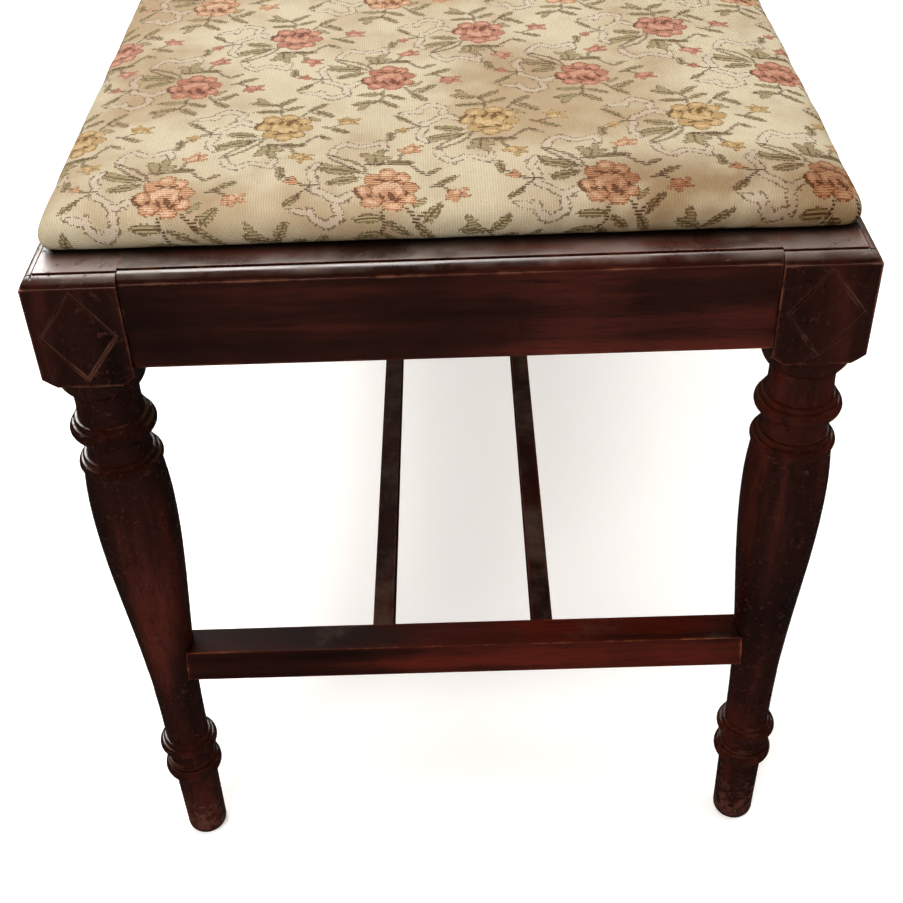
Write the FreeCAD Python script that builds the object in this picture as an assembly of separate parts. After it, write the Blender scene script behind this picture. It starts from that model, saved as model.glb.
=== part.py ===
import FreeCAD, Part
import math
import os

from FreeCAD import Vector

# A long bench with four turned legs and a loose tapestry seat. Millimetres.
# X runs along the bench, Y across it (front is -Y), Z up. The origin is on the floor at the middle.

# Overall sizes
bench_length = 920.0
bench_width = 396.0
frame_height = 437.0

# Square top of the legs
leg_square = 45.0
block_height = 60.5
block_shoulder_radius = 27.5
block_shoulder_rise = 6.0
lozenge_half_width = 18.5
lozenge_half_height = 25.0
lozenge_below_top = 32.0
lozenge_line = 0.9
lozenge_depth = 0.5

# Rails under the seat
rail_thickness = 32.0
rail_height = 51.6
rail_setback = 2.0
rail_tenon_thickness = 10.0
rail_tenon_height = 34.0
rail_tenon_length = 20.0
glue_gap = 0.15

# Moulding along the top outer edge: flat top, sunk quirk, quarter round, small step
quirk_width = 0.9
quirk_depth = 1.6
round_drop = 0.8
round_radius = 4.6
step_width = 0.7

# Turned leg, upper part, measured down from the square top
collar_height = 12.5
collar_margin = 0.4
collar_foot_radius = 17.9
collar_bow = 1.9
neck_height = 18.0
neck_top_radius = 17.0
neck_hollow = 0.6
upper_ring_height = 7.4
upper_ring_bow = 2.4
upper_ring_foot_radius = 19.4
upper_bead_radius = 20.3
scotia_height = 13.0
scotia_hollow = 1.4
scotia_top_radius = 18.4
lower_ring_height = 5.4
lower_ring_bow = 1.8
lower_bead_radius = 20.2

# Above every ring: a fine groove, then a bead that leads in to the narrower part over it
groove_height = 0.8
groove_depth = 0.9
bead_height = 2.4
bead_bow = 1.0
band_radius = 17.3

# Turned leg, long taper
belly_radius = 22.4
belly_drop = 31.6
belly_shoulder = 17.0
taper_top_radius = 20.2
taper_foot_radius = 13.1
taper_foot_rise = 8.0
taper_lower_pull = 80.0
taper_upper_pull = 58.0

# Turned leg, lower part, measured up from the floor
sole_radius = 6.5
foot_round_rise = 8.0
foot_round_bow = 2.0
foot_radius = 12.5
foot_top_radius = 13.1
foot_height = 60.0
ankle_ring_height = 11.0
ankle_ring_bow = 3.2
ankle_bead_radius = 15.6
ankle_foot_radius = 14.0
ankle_height = 10.4
ankle_hollow = 0.7
ankle_top_radius = 14.9
shin_ring_height = 6.8
shin_ring_bow = 2.4
shin_bead_radius = 15.8

# Stretchers
stretcher_top = 174.0
stretcher_height = 23.0
stretcher_depth = 19.0
stretcher_tenon_thickness = 9.0
stretcher_tenon_height = 15.0
stretcher_tenon_stop = 4.0
stretcher_tenon_root = 6.0
bar_spacing = 95.0
bar_width = 12.0
bar_height = 19.0
bar_below_top = 0.6
bar_tenon_thickness = 6.0
bar_tenon_height = 11.0
bar_tenon_length = 9.0

# Corner blocks and their screws
corner_leg = 46.0
corner_height = 26.0
corner_above_rail_foot = 4.0
corner_screw_above_foot = 7.0
corner_screw_spacing = 12.0
corner_screw_bite = 12.0

# Wood screws
screw_shank_radius = 2.0
screw_head_radius = 4.0
screw_head_height = 2.2
screw_slot_width = 0.9
screw_slot_depth = 1.0
screw_gap = 0.1

# Loose seat
seat_end_margin = 22.0
seat_side_margin = 5.0
seat_edge_height = 20.0
seat_crown = 3.5
seat_corner_radius = 7.0
seat_corner_growth = 0.04
seat_end_hollow = 1.0
seat_side_bulge = 2.5
seat_roll_under = 4.0
seat_roll_over = 16.0
seat_widest_height = 7.0
seat_plateau_half_width = 25.0
roll_under_turns = (0, 30, 60, 90)
roll_over_turns = (20, 40, 60, 90)
crown_shares = (0.9, 0.75, 0.55, 0.35)
cover_thickness = 1.0
soft_gap = 0.3
wadding_wrap = 2.5
hem_past_tacks = 10.0

# Seat boards and cleats
board_thickness = 10.0
board_joint = 0.2
cleat_width = 30.0
cleat_height = 16.0
cleat_fit = 3.0
cleat_screw_bite = 8.0
cleat_screw_from_end = 41.0
cleat_screw_count = 4

# Tacks along the hem
tack_from_rail = 7.0
tack_from_corner = 70.0
tack_from_cleat = 26.0
tacks_between_cleats = 6
tacks_across_end = 5
tack_head_radius = 3.0
tack_head_height = 0.9
tack_shank_radius = 0.6
tack_length = 7.0
tack_gap = 0.05

# Worked out from the sizes above
half_length = bench_length / 2
half_width = bench_width / 2
leg_axis_x = half_length - leg_square / 2
leg_axis_y = half_width - leg_square / 2
block_foot = frame_height - block_height
rail_foot = frame_height - rail_height
rail_back = rail_setback + rail_thickness
rail_middle = rail_setback + rail_thickness / 2
stretcher_foot = stretcher_top - stretcher_height
cut_margin = 1.0
UP = Vector(0, 0, 1)
ORIGIN = Vector(0, 0, 0)


def box_between(low, high):
    """Box from its lowest to its highest corner."""
    size = [b - a for a, b in zip(low, high)]
    return Part.makeBox(*size, Vector(*low))


def prism(points, direction):
    """Solid from a closed outline of points, pushed along a direction."""
    outline = Part.makePolygon(list(points) + [points[0]])
    return Part.Face(outline).extrude(direction)


def mirrored_x(shape):
    """The same piece at the other end of the bench."""
    return shape.mirror(ORIGIN, Vector(1, 0, 0))


def mirrored_y(shape):
    """The same piece on the other long side of the bench."""
    return shape.mirror(ORIGIN, Vector(0, 1, 0))


def grown(low, high, gap):
    """Two corners of a box moved apart by a gap on every side."""
    return [a - gap for a in low], [b + gap for b in high]


class Outline:
    """Edges of a turned profile, drawn upwards in the plane of radius and height."""

    def __init__(self, radius, extra):
        self.extra = extra
        self.edges = [Part.LineSegment(ORIGIN, Vector(radius + extra, 0, 0)).toShape()]
        self.radius = radius
        self.height = 0.0

    def point(self, radius, height):
        return Vector(radius + self.extra, 0, height)

    def line(self, radius, height):
        start = self.point(self.radius, self.height)
        self.edges.append(Part.LineSegment(start, self.point(radius, height)).toShape())
        self.radius, self.height = radius, height

    def bow(self, radius, height, bow):
        """Arc to a point, bowed outwards, or inwards when the bow is negative."""
        run, rise = radius - self.radius, height - self.height
        chord = math.hypot(run, rise)
        middle_radius = (radius + self.radius) / 2 + bow * rise / chord
        middle_height = (height + self.height) / 2 - bow * run / chord
        start = self.point(self.radius, self.height)
        middle = self.point(middle_radius, middle_height)
        self.edges.append(Part.Arc(start, middle, self.point(radius, height)).toShape())
        self.radius, self.height = radius, height

    def curve(self, *poles):
        """Smooth curve led by the given poles, the last of which is its end."""
        bezier = Part.BezierCurve()
        bezier.setPoles([self.point(self.radius, self.height)] + [self.point(*pole) for pole in poles])
        self.edges.append(bezier.toShape())
        self.radius, self.height = poles[-1]

    def ring(self, height, bow, bead_radius, radius_over):
        """A fat ring, with a fine groove above it and a bead that leads in to the radius over it."""
        groove_radius = bead_radius - groove_depth
        self.bow(bead_radius, self.height + height, bow)
        self.line(groove_radius, self.height)
        self.line(groove_radius, self.height + groove_height)
        self.bow(radius_over, self.height + bead_height, bead_bow)

    def solid(self):
        top = Vector(0, 0, self.height)
        self.edges.append(Part.LineSegment(self.point(self.radius, self.height), top).toShape())
        self.edges.append(Part.LineSegment(top, ORIGIN).toShape())
        return Part.Face(Part.Wire(self.edges)).revolve(ORIGIN, UP, 360)


def turned_leg(extra=0.0):
    """Round part of the leg, from the sole up to the square top, with extra radius for scribing."""
    band = groove_height + bead_height
    collar_foot = block_foot - collar_height
    neck_foot = collar_foot - neck_height
    scotia_top = neck_foot - band - upper_ring_height
    taper_top = scotia_top - scotia_height - band - lower_ring_height
    belly = taper_top - belly_drop

    leg = Outline(sole_radius, extra)
    leg.bow(foot_radius, foot_round_rise, foot_round_bow)
    leg.line(foot_top_radius, foot_height)
    leg.ring(ankle_ring_height, ankle_ring_bow, ankle_bead_radius, ankle_foot_radius)
    leg.bow(ankle_top_radius, leg.height + ankle_height, -ankle_hollow)
    leg.ring(shin_ring_height, shin_ring_bow, shin_bead_radius, taper_foot_radius)
    taper_foot = leg.height + taper_foot_rise
    leg.line(taper_foot_radius, taper_foot)
    leg.curve((taper_foot_radius, taper_foot + taper_lower_pull),
              (belly_radius, belly - taper_upper_pull), (belly_radius, belly))
    leg.curve((belly_radius, belly + belly_shoulder), (taper_top_radius, taper_top))
    leg.ring(lower_ring_height, lower_ring_bow, lower_bead_radius, band_radius)
    leg.bow(scotia_top_radius, scotia_top, -scotia_hollow)
    leg.line(upper_ring_foot_radius, scotia_top)
    leg.ring(upper_ring_height, upper_ring_bow, upper_bead_radius, band_radius)
    leg.bow(neck_top_radius, collar_foot, -neck_hollow)
    leg.line(collar_foot_radius, collar_foot)
    leg.bow(leg_square / 2 - collar_margin, block_foot, collar_bow)
    return leg.solid()


def moulding_waste(length):
    """What the moulding takes off a top edge: section in Y (inwards) and Z (down from 0), along +X."""
    quirk_in = step_width + round_radius
    quirk_out = quirk_in + quirk_width
    round_foot = -round_drop - round_radius
    lean = math.sqrt(0.5)
    start = Vector(0, quirk_in, -round_drop)
    middle = Vector(0, quirk_in - round_radius * lean, round_foot + round_radius * lean)
    end = Vector(0, step_width, round_foot)
    before = [Vector(0, -cut_margin, cut_margin), Vector(0, quirk_out, cut_margin),
              Vector(0, quirk_out, -quirk_depth), Vector(0, quirk_in, -quirk_depth), start]
    after = [end, Vector(0, -cut_margin, round_foot), before[0]]
    edges = [Part.makeLine(a, b) for a, b in zip(before, before[1:])]
    edges.append(Part.Arc(start, middle, end).toShape())
    edges += [Part.makeLine(a, b) for a, b in zip(after, after[1:])]
    return Part.Face(Part.Wire(edges)).extrude(Vector(length, 0, 0))


def waste_along_x(x_low, x_high, y_face):
    """Moulding waste on a front face (facing -Y) between two places along the bench."""
    waste = moulding_waste(x_high - x_low)
    waste.translate(Vector(x_low, y_face, frame_height))
    return waste


def waste_along_y(y_low, y_high, x_face):
    """Moulding waste on a left end face (facing -X) between two places across the bench."""
    waste = moulding_waste(y_high - y_low)
    waste.rotate(ORIGIN, UP, -90)
    waste.translate(Vector(x_face, y_high, frame_height))
    return waste


def lozenge_line_cut():
    """Incised lozenge on a front face at y = 0, centred on x = 0 and z = 0."""
    diagonal = math.hypot(lozenge_half_width, lozenge_half_height)
    inner_share = 1 - lozenge_line * diagonal / (lozenge_half_width * lozenge_half_height)

    def lozenge(share):
        wide, high = lozenge_half_width * share, lozenge_half_height * share
        corners = [Vector(-wide, 0, 0), Vector(0, 0, -high), Vector(wide, 0, 0), Vector(0, 0, high)]
        return prism(corners, Vector(0, lozenge_depth, 0))

    return lozenge(1.0).cut(lozenge(inner_share))


def side_tenon(gap=0.0):
    """Left tenon of the front side rail, or with a gap its mortise."""
    middle_y = -half_width + rail_middle
    middle_z = rail_foot + rail_height / 2
    shoulder = -half_length + leg_square
    low = (shoulder - rail_tenon_length, middle_y - rail_tenon_thickness / 2, middle_z - rail_tenon_height / 2)
    high = (shoulder, middle_y + rail_tenon_thickness / 2, middle_z + rail_tenon_height / 2)
    return box_between(*grown(low, high, gap))


def end_tenon(gap=0.0):
    """Front tenon of the left end rail, or with a gap its mortise."""
    middle_x = -half_length + rail_middle
    middle_z = rail_foot + rail_height / 2
    shoulder = -half_width + leg_square
    low = (middle_x - rail_tenon_thickness / 2, shoulder - rail_tenon_length, middle_z - rail_tenon_height / 2)
    high = (middle_x + rail_tenon_thickness / 2, shoulder, middle_z + rail_tenon_height / 2)
    return box_between(*grown(low, high, gap))


def stretcher_tenon(gap=0.0):
    """Front tenon of the left end stretcher, with its root inside the bar, or with a gap its mortise."""
    middle_z = stretcher_foot + stretcher_height / 2
    inner = -leg_axis_y + belly_radius + stretcher_tenon_root
    low = (-leg_axis_x - stretcher_tenon_thickness / 2, -leg_axis_y + stretcher_tenon_stop,
           middle_z - stretcher_tenon_height / 2)
    high = (-leg_axis_x + stretcher_tenon_thickness / 2, inner, middle_z + stretcher_tenon_height / 2)
    return box_between(*grown(low, high, gap))


def bar_tenon(gap=0.0):
    """Left tenon of the front long stretcher, or with a gap its mortise."""
    middle_y = -bar_spacing / 2
    middle_z = stretcher_top - bar_below_top - bar_height / 2
    shoulder = -leg_axis_x + stretcher_depth / 2
    low = (shoulder - bar_tenon_length, middle_y - bar_tenon_thickness / 2, middle_z - bar_tenon_height / 2)
    high = (shoulder, middle_y + bar_tenon_thickness / 2, middle_z + bar_tenon_height / 2)
    return box_between(*grown(low, high, gap))


def screw(length, gap=0.0):
    """Slotted countersunk screw at the origin, its head flush with z = 0 and its point down."""
    head = Part.makeCone(screw_shank_radius + gap, screw_head_radius + gap, screw_head_height,
                         Vector(0, 0, -screw_head_height))
    shank = Part.makeCylinder(screw_shank_radius + gap, length + gap, Vector(0, 0, -length - gap))
    body = head.fuse(shank).removeSplitter()
    if gap:
        return body
    reach = screw_head_radius + cut_margin
    slot = box_between((-reach, -screw_slot_width / 2, -screw_slot_depth), (reach, screw_slot_width / 2, cut_margin))
    return body.cut(slot)


def corner_screws(gap=0.0):
    """Two screws through the front left corner block, along the diagonal into the leg."""
    face_middle = (rail_back + leg_square + corner_leg) / 2
    through_block = math.sqrt(2) * (face_middle - leg_square)
    screws = []
    for level in (corner_screw_above_foot, corner_screw_above_foot + corner_screw_spacing):
        piece = screw(through_block + corner_screw_bite, gap)
        piece.rotate(ORIGIN, Vector(0, 1, 0), 90)
        piece.rotate(ORIGIN, UP, 45)
        piece.translate(Vector(-half_length + face_middle, -half_width + face_middle,
                               rail_foot + corner_above_rail_foot + level))
        screws.append(piece)
    return screws


def leg():
    """Front left leg with its moulded square top and mortises."""
    half = leg_square / 2
    rim = math.hypot(half, half) + cut_margin
    shoulder = Part.makeCone(block_shoulder_radius, rim, block_shoulder_rise, Vector(0, 0, block_foot))
    shoulder = shoulder.fuse(Part.makeCylinder(rim, block_height, Vector(0, 0, block_foot + block_shoulder_rise)))
    block = box_between((-half, -half, block_foot), (half, half, frame_height)).common(shoulder)
    piece = block.fuse(turned_leg())
    piece.translate(Vector(-leg_axis_x, -leg_axis_y, 0))
    piece = piece.removeSplitter()

    lozenge_front = lozenge_line_cut()
    lozenge_end = lozenge_line_cut()
    lozenge_end.rotate(ORIGIN, UP, -90)
    lozenge_height = frame_height - lozenge_below_top
    lozenge_front.translate(Vector(-leg_axis_x, -half_width, lozenge_height))
    lozenge_end.translate(Vector(-half_length, -leg_axis_y, lozenge_height))
    far = leg_square + cut_margin
    cuts = [
        waste_along_x(-half_length - cut_margin, -half_length + far, -half_width),
        waste_along_y(-half_width - cut_margin, -half_width + far, -half_length),
        lozenge_front,
        lozenge_end,
        side_tenon(glue_gap),
        end_tenon(glue_gap),
        stretcher_tenon(glue_gap),
    ]
    return piece.cut(cuts + corner_screws(screw_gap))


def side_rail():
    """Front side rail, tenoned into the legs at both ends."""
    end = half_length - leg_square
    low = (-end, -half_width + rail_setback, rail_foot)
    high = (end, -half_width + rail_back, frame_height)
    rail = box_between(low, high).cut(waste_along_x(-end - cut_margin, end + cut_margin, low[1]))
    tenon = side_tenon()
    return rail.fuse([tenon, mirrored_x(tenon)]).removeSplitter()


def end_rail():
    """Left end rail, tenoned into the legs at both ends."""
    end = half_width - leg_square
    low = (-half_length + rail_setback, -end, rail_foot)
    high = (-half_length + rail_back, end, frame_height)
    rail = box_between(low, high).cut(waste_along_y(-end - cut_margin, end + cut_margin, low[0]))
    tenon = end_tenon()
    return rail.fuse([tenon, mirrored_y(tenon)]).removeSplitter()


def end_stretcher():
    """Left end stretcher, scribed to the round legs and mortised for the long stretchers."""
    low = (-leg_axis_x - stretcher_depth / 2, -leg_axis_y, stretcher_foot)
    high = (-leg_axis_x + stretcher_depth / 2, leg_axis_y, stretcher_top)
    scribe = turned_leg(glue_gap)
    scribe.translate(Vector(-leg_axis_x, -leg_axis_y, 0))
    bar = box_between(low, high).cut([scribe, mirrored_y(scribe)])
    tenon = stretcher_tenon()
    bar = bar.fuse([tenon, mirrored_y(tenon)]).removeSplitter()
    mortise = bar_tenon(glue_gap)
    return bar.cut([mortise, mirrored_y(mortise)])


def long_stretcher():
    """Front long stretcher between the two end stretchers."""
    end = leg_axis_x - stretcher_depth / 2
    top = stretcher_top - bar_below_top
    low = (-end, -bar_spacing / 2 - bar_width / 2, top - bar_height)
    high = (end, -bar_spacing / 2 + bar_width / 2, top)
    tenon = bar_tenon()
    return box_between(low, high).fuse([tenon, mirrored_x(tenon)]).removeSplitter()


def corner_block():
    """Front left corner block, notched round the leg and bored for its screws."""
    outline = [(leg_square, rail_back), (leg_square + corner_leg, rail_back), (rail_back, leg_square + corner_leg),
               (rail_back, leg_square), (leg_square, leg_square)]
    foot = rail_foot + corner_above_rail_foot
    points = [Vector(-half_length + x, -half_width + y, foot) for x, y in outline]
    return prism(points, Vector(0, 0, corner_height)).cut(corner_screws(screw_gap))


def seat_outline(inset, height):
    """Closed line round the seat at a height: rounded corners, ends drawn in a little, long sides bulging."""
    half_x = half_length - seat_end_margin - inset
    half_y = half_width - seat_side_margin - inset
    radius = seat_corner_radius + seat_corner_growth * inset
    share = half_y / (half_width - seat_side_margin)
    lean = radius * (1 - math.sqrt(0.5))
    corners = [(1, 1), (-1, 1), (-1, -1), (1, -1)]
    edges = []
    for (x, y), (next_x, next_y) in zip(corners, corners[1:] + corners[:1]):
        along_x = y == next_y
        round_first = Vector(x * half_x, y * (half_y - radius), height)
        round_middle = Vector(x * (half_x - lean), y * (half_y - lean), height)
        round_last = Vector(x * (half_x - radius), y * half_y, height)
        if not along_x:
            round_first, round_last = round_last, round_first
        edges.append(Part.Arc(round_first, round_middle, round_last).toShape())
        if along_x:
            side_end = Vector(next_x * (half_x - radius), y * half_y, height)
            side_middle = Vector(0, y * (half_y + seat_side_bulge * share), height)
        else:
            side_end = Vector(x * half_x, next_y * (half_y - radius), height)
            side_middle = Vector(x * (half_x - seat_end_hollow * share), 0, height)
        edges.append(Part.Arc(round_last, side_middle, side_end).toShape())
    return Part.Wire(edges)


def seat_levels():
    """Inset and height of the lines that the seat's form passes through, from its flat foot to its crown."""
    levels = []
    for turn in roll_under_turns:
        angle = math.radians(turn)
        levels.append((seat_roll_under * (1 - math.sin(angle)), seat_widest_height * (1 - math.cos(angle))))
    for turn in roll_over_turns:
        angle = math.radians(turn)
        rise = (seat_edge_height - seat_widest_height) * math.sin(angle)
        levels.append((seat_roll_over * (1 - math.cos(angle)), seat_widest_height + rise))
    half_y = half_width - seat_side_margin
    crown_half_width = half_y - seat_roll_over
    for left in crown_shares + (seat_plateau_half_width / crown_half_width,):
        levels.append((half_y - left * crown_half_width, seat_edge_height + seat_crown * (1 - left * left)))
    return levels


def seat_form(skin=0.0):
    """The seat's whole outer form, resting on the rails, or the same form under a skin."""
    levels = seat_levels()
    full = levels[-1][1]
    squeeze = (full - 2 * skin) / full
    lines = [seat_outline(inset + skin, frame_height + skin + height * squeeze) for inset, height in levels]
    return Part.makeLoft(lines, True, True)


def board_extent():
    """Half length and half width of the wooden base inside the cover."""
    inset = seat_roll_under + seat_end_hollow + cover_thickness + soft_gap + wadding_wrap + soft_gap
    return half_length - seat_end_margin - inset, half_width - seat_side_margin - inset


def base_block(gap=0.0):
    """Space of the two boards together, with rounded corners, reaching down past their foot when grown."""
    half_x, half_y = board_extent()
    foot = frame_height + cover_thickness
    low = (-half_x - gap, -half_y - gap, foot - (cut_margin if gap else 0.0))
    high = (half_x + gap, half_y + gap, foot + board_thickness)
    block = box_between(low, high)
    uprights = [edge for edge in block.Edges if abs(edge.tangentAt(edge.FirstParameter).z) > 0.5]
    return block.makeFillet(seat_corner_radius + gap, uprights)


def cleat_centres():
    """Places of the three cleats along the bench; the outer two locate the seat between the legs."""
    end = half_length - leg_square - cleat_fit - cleat_width / 2
    return (-end, 0.0, end)


def cleat_half_length():
    """Half the length of a cleat, which drops between the side rails."""
    return half_width - rail_back - cleat_fit


def spread(first, last, count):
    """Evenly spaced places from the first to the last."""
    return [first + (last - first) * index / (count - 1) for index in range(count)]


def cleat_screws(gap=0.0, centres=None):
    """Screws driven up through the cleats into the boards."""
    screws = []
    outer = cleat_half_length() - cleat_screw_from_end
    for x in centres or cleat_centres():
        for y in spread(-outer, outer, cleat_screw_count):
            piece = screw(cleat_height + cover_thickness + cleat_screw_bite, gap)
            piece.rotate(ORIGIN, Vector(1, 0, 0), 180)
            piece.translate(Vector(x, y, frame_height - cleat_height))
            screws.append(piece)
    return screws


def cleat(x):
    """Batten across the seat boards' underside, with room to drop between the side rails."""
    half_y = cleat_half_length()
    low = (x - cleat_width / 2, -half_y, frame_height - cleat_height)
    high = (x + cleat_width / 2, half_y, frame_height)
    return box_between(low, high).cut(cleat_screws(screw_gap, [x]))


def tack_places():
    """Where the tacks stand, round the hem, clear of the cleats and the corners."""
    line_x = half_length - rail_back - tack_from_rail
    line_y = half_width - rail_back - tack_from_rail
    end_reach = half_width - tack_from_corner
    clear = cleat_width / 2 + tack_from_cleat
    centres = cleat_centres()
    places = []
    for side in (-1, 1):
        for cleat_x, next_cleat_x in zip(centres, centres[1:]):
            for x in spread(cleat_x + clear, next_cleat_x - clear, tacks_between_cleats):
                places.append((x, side * line_y))
        for y in spread(-end_reach, end_reach, tacks_across_end):
            places.append((side * line_x, y))
    return places


def tacks(gap=0.0):
    """Domed tacks under the hem, or with a gap the holes for their shanks."""
    pieces = []
    for x, y in tack_places():
        place = Vector(x, y, frame_height)
        shank = Part.makeCylinder(tack_shank_radius + gap, tack_length + gap, place)
        if gap:
            pieces.append(shank)
            continue
        dome_radius = (tack_head_radius ** 2 + tack_head_height ** 2) / (2 * tack_head_height)
        dome = Part.makeSphere(dome_radius, place + Vector(0, 0, dome_radius - tack_head_height))
        head = dome.common(Part.makeCylinder(tack_head_radius, tack_head_height, place - UP * tack_head_height))
        pieces.append(head.fuse(shank).removeSplitter())
    return pieces


def seat_board():
    """Front board of the seat's base."""
    half_x, half_y = board_extent()
    top = frame_height + cover_thickness + board_thickness
    front_half = box_between((-half_x, -half_y, frame_height), (half_x, -board_joint / 2, top))
    return base_block().common(front_half).cut(tacks(tack_gap) + cleat_screws(screw_gap))


def wadding():
    """Soft filling over the boards and round their edges, under the cover."""
    return seat_form(cover_thickness + soft_gap).cut(base_block(soft_gap))


def tapestry_cover():
    """Woven cover over the whole seat, turned under and open in the middle of the underside."""
    window_x = half_length - rail_back - tack_from_rail - hem_past_tacks
    window_y = half_width - rail_back - tack_from_rail - hem_past_tacks
    window = box_between((-window_x, -window_y, frame_height - cut_margin),
                         (window_x, window_y, frame_height + 2 * cover_thickness))
    return seat_form().cut([seat_form(cover_thickness), window] + tacks(tack_gap))


def four_corners(name, shape):
    """One piece for each corner of the bench, from the front left one."""
    back = mirrored_y(shape)
    return {
        name + "_left_front": shape,
        name + "_left_back": back,
        name + "_right_front": mirrored_x(shape),
        name + "_right_back": mirrored_x(back),
    }


def frame_pieces():
    """Everything that stays on the floor when the seat is lifted out."""
    front_rail, left_rail = side_rail(), end_rail()
    left_stretcher, front_bar = end_stretcher(), long_stretcher()
    pieces = four_corners("leg", leg())
    pieces.update(four_corners("corner_block", corner_block()))
    screws = []
    for piece in corner_screws():
        screws += four_corners("screw", piece).values()
    pieces.update({
        "side_rail_front": front_rail,
        "side_rail_back": mirrored_y(front_rail),
        "end_rail_left": left_rail,
        "end_rail_right": mirrored_x(left_rail),
        "end_stretcher_left": left_stretcher,
        "end_stretcher_right": mirrored_x(left_stretcher),
        "long_stretcher_front": front_bar,
        "long_stretcher_back": mirrored_y(front_bar),
        "corner_block_screws": Part.makeCompound(screws),
    })
    return pieces


def seat_pieces():
    """The loose seat: boards, cleats, wadding and cover."""
    front_board = seat_board()
    left, middle, right = cleat_centres()
    return {
        "seat_board_front": front_board,
        "seat_board_back": mirrored_y(front_board),
        "seat_cleat_left": cleat(left),
        "seat_cleat_middle": cleat(middle),
        "seat_cleat_right": cleat(right),
        "cleat_screws": Part.makeCompound(cleat_screws()),
        "seat_wadding": wadding(),
        "tapestry_cover": tapestry_cover(),
        "cover_tacks": Part.makeCompound(tacks()),
    }


def main():
    os.makedirs("parts", exist_ok=True)
    for name, shape in {**frame_pieces(), **seat_pieces()}.items():
        print(name, "solids", len(shape.Solids), "valid", shape.isValid(), "volume", round(shape.Volume, 1))
        shape.exportStep(os.path.join("parts", name + ".step"))


main()
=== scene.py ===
import math

import bpy
from mathutils import Matrix, Vector, noise


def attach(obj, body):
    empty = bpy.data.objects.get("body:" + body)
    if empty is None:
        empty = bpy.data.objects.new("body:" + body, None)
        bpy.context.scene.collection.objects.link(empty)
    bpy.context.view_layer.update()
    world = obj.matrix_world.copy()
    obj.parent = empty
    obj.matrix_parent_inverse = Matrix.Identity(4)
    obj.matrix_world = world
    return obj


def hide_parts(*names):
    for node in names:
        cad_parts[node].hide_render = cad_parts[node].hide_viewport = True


# Looks of the bench: camera, light, floor, materials, and the woven cover of the loose seat. Metres.
# X runs along the bench and the photographed end is at -X, so the picture's right-hand side is -Y.

MM = 0.001

# Camera of the photograph; its lens and sensor are in millimetres
CAMERA_PLACE = (-983.7 * MM, -5.4 * MM, 748.0 * MM)
CAMERA_YAW = math.radians(-0.83)
CAMERA_PITCH = math.radians(38.61)
CAMERA_ROLL = math.radians(-2.26)
CAMERA_LENS = 52.99
CAMERA_SENSOR = 36.0

# Floor, walls, surroundings and lights
STAGE_REACH = 6.0
WALL_HEIGHT = 8.0
FLOOR_GLOW = 0.32
WALL_GLOW = 0.55
WORLD_GLOW = 0.02
WORLD_TINT = (1.0, 0.97, 0.93, 1.0)
LIGHT_TINT = (1.0, 0.98, 0.95)

# Incised lozenge on the square tops of the legs, the wear of their feet, and the dusty film with painted
# sheen on top of them
LEG_AXIS_X = 437.5 * MM
LEG_AXIS_Y = 175.5 * MM
LOZENGE_Z = 405.0 * MM
LOZENGE_HALF_WIDTH = 18.5 * MM
LOZENGE_HALF_HEIGHT = 25.0 * MM
LOZENGE_LINE_SHARE = 0.97
FOOT_WEAR_HEIGHT = 70.0 * MM
DUST_AND_SHEEN_LOW_Z = 415.0 * MM
DUST_AND_SHEEN_HIGH_Z = 430.0 * MM

# Wear and polish of the wood
GRAIN_STRETCH = 14.0
EDGE_RADIUS = 2.0 * MM
POLISH_RADIUS = 0.45 * MM
POLISH_WAVE_DEPTH = 0.5 * MM
GRAIN_DEPTH = 0.12 * MM
BARE_RELIEF = 6.0
# Reach of the occlusion that paints dirt and shade into hollows, joints and under the seat's edge
DIRT_AND_SHADE_REACH = 18.0 * MM
LEG_CHIP_SHARE = 0.8
RAIL_CHIP_SHARE = 0.25
POLISH_ROUGHNESS = 0.17
DULL_ROUGHNESS = 0.4
POLISH_GLOSS = 0.5
DULL_GLOSS_LOSS = 0.47

# Hidden wood and ironmongery
PINE_STRETCH = 18.0
PINE_DEPTH = 0.15 * MM
RUST_DEPTH = 0.06 * MM

# Seat cover; the rings of points round its edge are at turns in degrees
BENCH_HALF_LENGTH = 460.0 * MM
SEAT_END_X = 438.0 * MM
SEAT_SIDE_Y = 193.0 * MM
SEAT_SIDE_BULGE = 2.5 * MM
SEAT_FOOT_Z = 437.2 * MM
SEAT_CORNER_RADIUS = 5.0 * MM
SEAT_WIDEST_HEIGHT = 7.0 * MM
SEAT_EDGE_HEIGHT = 19.5 * MM
SEAT_ROLL_OVER = 16.0 * MM
SEAT_ROLL_UNDER = 4.0 * MM
TURNS_OVER = (75, 60, 45, 30, 15, 0)
TURNS_UNDER = (65, 40, 0)
SEAT_CROWN = 2.0 * MM
CROWN_POWER_ACROSS = 2.6
CROWN_POWER_ALONG = 14
LUMP_HEIGHTS = (0.9 * MM, 0.6 * MM)
LUMPS_PER_METRE = (14.0, 36.0)
PUCKER_DEPTH = 0.8 * MM
PUCKERS_PER_METRE = 75.0
HEM_WIDTH = 28.0 * MM
HEM_STEPS = 5
CLOTH_GRID = 6.0 * MM
CLOTH_THICKNESS = 0.9 * MM
CLOTH_FRAMES = 20
CLOTH_MOVE_LIMIT = 1.5 * MM
HELD_HEIGHT = 17.0 * MM
ALONG_COUNT = round(2 * SEAT_END_X / CLOTH_GRID)
ACROSS_COUNT = round(2 * SEAT_SIDE_Y / CLOTH_GRID)

# Woven pattern, in millimetres of flat cloth: across is towards the picture's right, and depth is away
# from the photographed end
STITCH_ACROSS = 0.6
STITCH_DEPTH = 0.75
STROKE_LENGTH = 3.0
STROKE_SHIFT = 1.2
THREAD_DRIFT = 6.0
REPEAT_ACROSS = 104.4
REPEAT_DEPTH = 118.5
SPRIG_CELL_SHIFT = -8.0
SPRIG_ACROSS = -26.7
SPRIG_DEPTH = 39.0
MIRRORED_ACROSS = 25.0
MIRRORED_DEPTH = 103.0

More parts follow.
